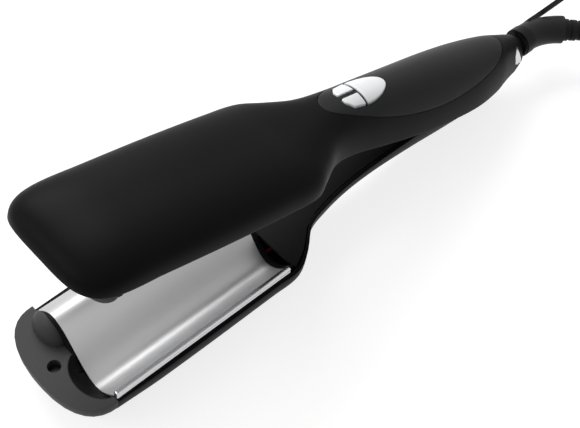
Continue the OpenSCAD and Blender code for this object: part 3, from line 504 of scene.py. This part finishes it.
def power_outline(grow, n=40):
    """Half ellipse, straight in front."""
    x = -GROUP_SPLIT + SLOT / 2 - grow
    length = -GROUP_BACK + grow - x
    return [(x + length * math.cos(math.pi / 2 - math.pi * i / n),
             (GROUP_HALF + grow) * math.sin(math.pi / 2 - math.pi * i / n))
            for i in range(n + 1)]


def small_outline(side, grow):
    """Small button on the side 1 or -1, its outer front corner cut off."""
    rear, front = -GROUP_SPLIT - SLOT / 2 + grow, -GROUP_FRONT - grow
    inner, outer = SLOT / 2 + 0.35 - grow, GROUP_HALF + grow
    pts = [(rear, inner), (rear, outer), (front + 3.4, outer - 0.8),
           (front, outer - 4.2), (front, inner)]
    return [(x, side * y) for x, y in pts]


def dense(points, step=0.5):
    """Outline with extra points along its long edges."""
    out = []
    for i, p in enumerate(points):
        q = points[(i + 1) % len(points)]
        k = max(1, int(math.dist(p, q) / step))
        out += [(p[0] + (q[0] - p[0]) * j / k, p[1] + (q[1] - p[1]) * j / k)
                for j in range(k)]
    return out


# ---- upper arm ------------------------------------------------------------
RIM_ROUND = 0.45
TAIL_CUT = [(7.6, -0.5), (7.6, 8), (-0.2, 8)]
TRIM_OUT, TRIM_IN = 0.12, 0.5
TRIM = [(-3.8, -11), (-5.4, -6.5), (-2.3, -0.8), (5.5, 0.8), (4.8, -1.7),
        (1.1, -5.7)]

body = stations(UPPER_LINE, TAIL, UPPER_JOINT)
inner = inset(body, WALL)
to = PLATE_FRONT + UPPER_NOSE
upper = shell("upper_shell_visual",
              body + nose_rows(body[-1], to, 4.2, 2.5, NOSE_LOW),
              inner + nose_rows(inner[-1], to - WALL, 4.2, 2.5, NOSE_LOW),
              FLIPPED, SOFT, shut_front=True)
bake(bevel(upper, RIM_ROUND, 3, 50))
cut(upper, prism("panel_cut", panel_outline(0), PANEL_LOW, CUT_TOP, UPPER))
# the tail's lower corners are cut off, and a bright trim lies over the pin
cut(upper, across("corner_cut", TAIL_CUT, FLIPPED))
place(upper, "upper_arm", "shell_black", "upper_shell")
rows = stations(UPPER_LINE, TAIL, 20, 1)
trim = shell("hinge_trim_visual", inset(rows, -TRIM_OUT), inset(rows, TRIM_IN),
             FLIPPED, STEEL)
cut(trim, across("trim_cut", TRIM, FLIPPED), "INTERSECT")
place(trim, "upper_arm", "steel")

panel = patch("panel_visual", panel_outline(SEAM), (-PANEL_WIDE, 0), crown,
              UPPER, PANEL, edge=0.35, depth=1.9, rings=30)
for well in (power_outline(BUTTON_GAP), small_outline(1, BUTTON_GAP),
             small_outline(-1, BUTTON_GAP)):
    cut(panel, prism("button_cut", well, 5, CUT_TOP, UPPER))
place(panel, "upper_arm", "panel_grey", "handle_panel")

for name, outline, centre in (
        ("power_button", power_outline(0), (-130.0, 0)),
        ("plus_button", small_outline(1, 0), (-143.5, 4.0)),
        ("minus_button", small_outline(-1, 0), (-143.5, -4.0))):
    pts = dense(rounded(outline, 0.7))
    button = patch(name + "_visual", pts, centre,
                   lambda x, y: crown(x, y, PROUD), UPPER, WHITE,
                   edge=0.55, depth=3.6, rings=8)
    place(button, name, "button_white", name)

# ---- lower arm ------------------------------------------------------------
body = stations(LOWER_LINE, 8, NOSE_JOINT)
inner = inset(body, WALL)
inner[0][0] += WALL
lower = shell("lower_shell_visual", body, inner, LOWER, SOFT, shut_rear=True)
bake(bevel(lower, RIM_ROUND, 3, 50))
place(lower, "lower_arm", "shell_black", "lower_shell")


# ---- plates, rails, domes, and the nodes that stay as in the CAD ----------
def wave(y):
    return WAVE_H * math.sin(2 * math.pi * y / PLATE_W)


def plate(name, matrix):
    """Wavy sheet with rounded ends."""
    n, r = 120, 0.35
    half = PLATE_W / 2
    top = [-half + PLATE_W * i / n for i in range(n + 1)]
    section = [(y, wave(y) - FACE) for y in top]
    section += [(y, wave(y) - FACE - PLATE_T) for y in reversed(top)]
    rows = []
    for s, cut_in in ((PLATE_REAR, r), (PLATE_REAR + 0.1, 0.1),
                      (PLATE_REAR + r, 0), (PLATE_FRONT - r, 0),
                      (PLATE_FRONT - 0.1, 0.1), (PLATE_FRONT, r)):
        ring = []
        for k, (y, z) in enumerate(section):
            mid = wave(y) - FACE - PLATE_T / 2
            t = 1 - cut_in / (PLATE_T / 2)
            ring.append((-s, y, mid + (z - mid) * t))
        rows.append(ring)
    return solid_grid(name, rows, matrix, PLATE)


RAIL_GAP, RAIL_T = 0.2, 2.4


def rail(name, matrix):
    """Edge rail with a groove along its outer side and rounded ends."""
    y0 = -PLATE_W / 2 - RAIL_GAP
    y1 = y0 - RAIL_T
    section = [(y0, -1), (y0, 2.9), (y0 - 0.4, 3.3), (y1 + 0.9, 3.3),
               (y1 + 0.4, 3.15), (y1 + 0.1, 2.8), (y1, 2.4), (y1, 1.8),
               (y1 + 0.55, 1.35), (y1 + 0.55, 0.95), (y1, 0.5), (y1, -1)]
    pts = dense(section, 0.4)
    rear, front = PLATE_REAR + 1, PLATE_FRONT
    rows = []
    for s, t in ((rear, 0.55), (rear + 0.25, 0.8), (rear + 0.7, 0.95),
                 (rear + 1.4, 1.0), (front - 0.6, 1.0), (front - 0.2, 0.94),
                 (front, 0.85)):
        rows.append([(-s, y0 - RAIL_T / 2 + (y - y0 + RAIL_T / 2) * t,
                      -1 + (z + 1) * (t if z > 0 else 1)) for y, z in pts])
    return solid_grid(name, rows, matrix, RAIL, 30)


# the deck's height, then the dome's radius, place across, height and length
DOMES = {"lower": (FACE + 0.3, 10.2, 15.4, -0.6, 6.2),
         "upper": (NOSE_LOW, 12.9, 13.5, -2.4, 7.4)}
DOME_START, END_WALL_T = 1.4, 1.5


def end_wall(name, matrix, foot):
    """Dark wall ahead of the plate's hump, as high as the plate's edge."""
    half, n = PLATE_W / 2, 60
    ys = [0.2 + (half - 0.4) * i / n for i in range(n + 1)]
    section = [(y, wave(y) - FACE - 0.12) for y in ys]
    section += [(y, -foot) for y in reversed(ys)]
    rows = [[(-s, y, z) for y, z in section]
            for s in (PLATE_FRONT + 0.02, PLATE_FRONT + END_WALL_T)]
    return solid_grid(name, rows, matrix, CARRIER)


def dome(arm, matrix):
    """Rounded end of the hump, on the deck at its foot."""
    foot, r, y0, z0, length = DOMES[arm]
    start = PLATE_FRONT + DOME_START
    n, m = 72, 22
    rows = []
    for i in range(m):
        a = math.pi / 2 * i / m
        rows.append([(-start - length * math.sin(a),
                      y0 + r * math.cos(a) * math.cos(2 * math.pi * k / n),
                      max(-foot, z0 + r * math.cos(a)
                          * math.sin(2 * math.pi * k / n)))
                     for k in range(n)])
    ob = solid_grid(arm + "_dome_visual", rows, matrix, NOSE)
    place(ob, arm + "_arm", "nose_grey", arm + "_dome")
    place(end_wall(arm + "_end_wall_visual", matrix, foot), arm + "_arm",
          "carrier_black")


for arm, matrix in (("lower", LOWER), ("upper", FLIPPED)):
    ob = plate(arm + "_plate_visual", matrix)
    place(ob, arm + "_arm", "plate_metal", arm + "_plate")
    ob = rail(arm + "_rail_visual", matrix)
    place(ob, arm + "_arm", "rail_metal", arm + "_rail")
    keep(arm + "_carrier", CARRIER)
    dome(arm, matrix)
    keep(arm + "_handle_cover", COVER, 0.3)
    keep(arm + "_heater", CERAMIC)
    keep(arm + "_heater_clip", WIRE_STEEL, 0.1)
    keep(arm + "_thermistor", AMBER, 0.4)
    keep(arm + "_wires", WIRE, 0)
    keep(arm + "_screws", STEEL, 0.15)
keep("lower_nose_cap", CAP, 0.6)
keep("nose_screw", DARK_STEEL, 0.2)
keep("upper_nose_deck", CARRIER, 0.3)
keep("hinge_bracket", DARK_STEEL, 0.3)
keep("hinge_bushes", BRONZE, 0.15)
keep("hinge_spring", WIRE_STEEL, 0)
keep("hinge_pin", STEEL, 0.3)
keep("swivel_collar", GLOSS, 0.4)
keep("thermal_fuse", STEEL, 0.3)
keep("circuit_board", BOARD, 0.1)
keep("tact_switches", STEEL, 0.15)
keep("board_screws", STEEL, 0.15)

# ---- swivel, cord and plug ------------------------------------------------
keep("swivel_barrel", SLEEVE, 0.2)
keep("cord_sleeve", SLEEVE, 0.35)
keep("strain_relief", RUBBER, 0.2)

turn = math.radians(SLEEVE_TURN)
exit_mm = Vector((SLEEVE_AT + SLEEVE_R * math.sin(turn)
                  + RELIEF_LEN * math.cos(turn),
                  -SLEEVE_R * (1 - math.cos(turn))
                  - RELIEF_LEN * math.sin(turn), COLLAR_Z))
way = Vector((math.cos(turn), -math.sin(turn), 0))
aside = Vector((-math.sin(turn), -math.cos(turn), 0))
CORD_LIE = -HZ + CORD_D / 2 + 0.1
FALL = [(0, 0), (2, 0), (8, 0.2), (14, 0.7), (20, 1.4), (26, 2), (32, 2.4),
        (36, 2.5)]
# the coil: turns in three columns and four layers, COL apart
R_OUT, COL = 36.5, 6.3
R_MID, R_IN = R_OUT - COL, R_OUT - 2 * COL
path = [exit_mm + way * a - Vector((0, 0, b)) for a, b in FALL]
land = Vector((path[-1].x, path[-1].y, 0))
centre = land - aside * R_OUT
start = math.atan2(aside.y, aside.x)
Z1, Z2, Z3 = (CORD_LIE + COL * i for i in range(3))
Z4 = path[-1].z
# slots taken in turn, each with the degrees travelled up to its end; the cord
# moves over to the next slot within RAMP degrees
RAMP = 100
SLOTS = [(124, R_OUT, Z4), (404, R_MID, Z4), (684, R_IN, Z4), (964, R_IN, Z3),
         (1244, R_MID, Z3), (1524, R_OUT, Z3), (1804, R_OUT, Z2),
         (2084, R_MID, Z2), (2364, R_IN, Z2), (2644, R_IN, Z1),
         (2966, R_MID, Z1), (3327, R_OUT, Z1)]


def coil_at(deg):
    """Radius and height of the coil after so many degrees."""
    for (end, r0, z0), (_, r1, z1) in zip(SLOTS, SLOTS[1:]):
        if deg <= end:
            return r0, z0
        if deg <= end + RAMP:
            u = (deg - end) / RAMP
            u = u * u * (3 - 2 * u)
            return r0 + (r1 - r0) * u, z0 + (z1 - z0) * u
    return SLOTS[-1][1:]


STEPS = 222
for i in range(1, STEPS + 1):
    deg = SLOTS[-1][0] * i / STEPS
    r, z = coil_at(deg)
    a = start + math.radians(deg)
    path.append(Vector((centre.x + r * math.cos(a),
                        centre.y + r * math.sin(a), z)))
# along and up from the coil's foot to the plug
PLUG_AWAY = math.radians(45)
plug_way = Vector((math.cos(PLUG_AWAY), math.sin(PLUG_AWAY), 0))
LEAD = [(6, 0), (12, 0.1), (18, 0.9), (24, 2.2), (30, 3.4), (35, 4), (38, 4)]
foot = path[-1].copy()
for along, rise in LEAD:
    path.append(foot + plug_way * along + Vector((0, 0, rise)))

cu = bpy.data.curves.new("cord_visual", "CURVE")
cu.dimensions = "3D"
cu.bevel_depth = CORD_D / 2000
cu.bevel_resolution = 6
cu.use_fill_caps = True
sp = cu.splines.new("POLY")
sp.points.add(len(path) - 1)
for pt, p in zip(sp.points, path):
    q = LOWER @ p
    pt.co = (q.x, q.y, q.z, 1)
cu.materials.append(SHEATH)
cord = bpy.data.objects.new("cord_visual", cu)
bpy.context.scene.collection.objects.link(cord)
place(cord, "cord", "cord_black", "cord_tube", "cord_coil")

keep("plug_body", PLUG, 1.2, 25)
keep("plug_pins", PINS, 0.2)


# ---- studio ---------------------------------------------------------------
def larger(nt, a, b):
    node = nt.nodes.new("ShaderNodeMath")
    node.operation = "MAXIMUM"
    nt.links.new(a, node.inputs[0])
    nt.links.new(b, node.inputs[1])
    return node.outputs[0]


def seen(nt):
    """1 for rays that show the background: straight, in metal, in glass."""
    rays = nt.nodes.new("ShaderNodeLightPath").outputs
    return larger(nt, larger(nt, rays["Is Camera Ray"], rays["Is Glossy Ray"]),
                  rays["Is Transmission Ray"])


FLOOR_GREY, FLOOR_GLOW, FLOOR_REACH_M = 0.35, 0.8, 3
floor_me = bpy.data.meshes.new("floor")
floor_me.from_pydata([(FLOOR_REACH_M * i, FLOOR_REACH_M * j, 0)
                      for i, j in ((-1, -1), (1, -1), (1, 1), (-1, 1))], [],
                     [(0, 1, 2, 3)])
floor = bpy.data.objects.new("floor", floor_me)
bpy.context.scene.collection.objects.link(floor)
pale = bpy.data.materials.new("floor")
pale.use_nodes = True
nt = pale.node_tree
nt.nodes.clear()
matt = nt.nodes.new("ShaderNodeBsdfDiffuse")
matt.inputs["Color"].default_value = (FLOOR_GREY, FLOOR_GREY, FLOOR_GREY, 1)
glow = nt.nodes.new("ShaderNodeEmission")
scaled = nt.nodes.new("ShaderNodeMath")
scaled.operation = "MULTIPLY"
scaled.inputs[1].default_value = FLOOR_GLOW
nt.links.new(seen(nt), scaled.inputs[0])
nt.links.new(scaled.outputs[0], glow.inputs["Strength"])
summed = nt.nodes.new("ShaderNodeAddShader")
nt.links.new(matt.outputs[0], summed.inputs[0])
nt.links.new(glow.outputs[0], summed.inputs[1])
out = nt.nodes.new("ShaderNodeOutputMaterial")
nt.links.new(summed.outputs[0], out.inputs["Surface"])
floor_me.materials.append(pale)

# the world lights from above and from the far side; seen, it is white
SKY_TOWARD = (-0.15, 0.55, 0.82)
SKY_DARK, SKY_LIGHT = 0.05, 0.5
world = bpy.data.worlds.new("studio")
bpy.context.scene.world = world
world.use_nodes = True
nt = world.node_tree
back = nt.nodes["Background"]
back.inputs["Color"].default_value = (1, 1, 1, 1)
tc = nt.nodes.new("ShaderNodeTexCoord")
toward = nt.nodes.new("ShaderNodeVectorMath")
toward.operation = "DOT_PRODUCT"
toward.inputs[1].default_value = SKY_TOWARD
nt.links.new(tc.outputs["Generated"], toward.inputs[0])
level = nt.nodes.new("ShaderNodeMapRange")
level.inputs["From Min"].default_value = -0.5
level.inputs["From Max"].default_value = 1.0
level.inputs["To Min"].default_value = SKY_DARK
level.inputs["To Max"].default_value = SKY_LIGHT
nt.links.new(toward.outputs["Value"], level.inputs["Value"])
nt.links.new(larger(nt, level.outputs["Result"], seen(nt)),
             back.inputs["Strength"])


def area(name, place_m, aim, size, power):
    """Area lamp; metres and watts."""
    li = bpy.data.lights.new(name, "AREA")
    li.shape = "RECTANGLE"
    li.size, li.size_y = size
    li.energy = power
    ob = bpy.data.objects.new(name, li)
    ob.location = place_m
    ob.rotation_euler = (Vector(aim) - Vector(place_m)).to_track_quat(
        "-Z", "Y").to_euler()
    bpy.context.scene.collection.objects.link(ob)


area("key", (0.2, 0.85, 0.95), (0, 0, 0.03), (1.0, 0.7), 14)
area("left", (-1.1, 0.6, 0.8), (-0.1, 0, 0.03), (0.8, 0.8), 5)

bpy.context.scene.view_settings.view_transform = "Standard"

# ---- camera, fitted to the photograph -------------------------------------
FOCAL_PX, PHOTO_W, SENSOR = 1041.99, 580.0, 36.0
CAMERA_AT = (-401.98, -202.13, 391.74)
CAMERA_RIGHT = (0.7247, -0.6835, 0.0876)
CAMERA_AHEAD = (0.4698, 0.3971, -0.7884)
cam = bpy.data.cameras.new("camera")
cam.sensor_width = SENSOR
cam.lens = FOCAL_PX * SENSOR / PHOTO_W
camera = bpy.data.objects.new("camera", cam)
bpy.context.scene.collection.objects.link(camera)
right = Vector(CAMERA_RIGHT).normalized()
ahead = Vector(CAMERA_AHEAD)
ahead = (ahead - right * ahead.dot(right)).normalized()
up = right.cross(ahead)
at_m = LOWER @ Vector(CAMERA_AT)
camera.matrix_world = Matrix((
    (right.x, up.x, -ahead.x, at_m.x), (right.y, up.y, -ahead.y, at_m.y),
    (right.z, up.z, -ahead.z, at_m.z), (0, 0, 0, 1)))
bpy.context.scene.camera = camera
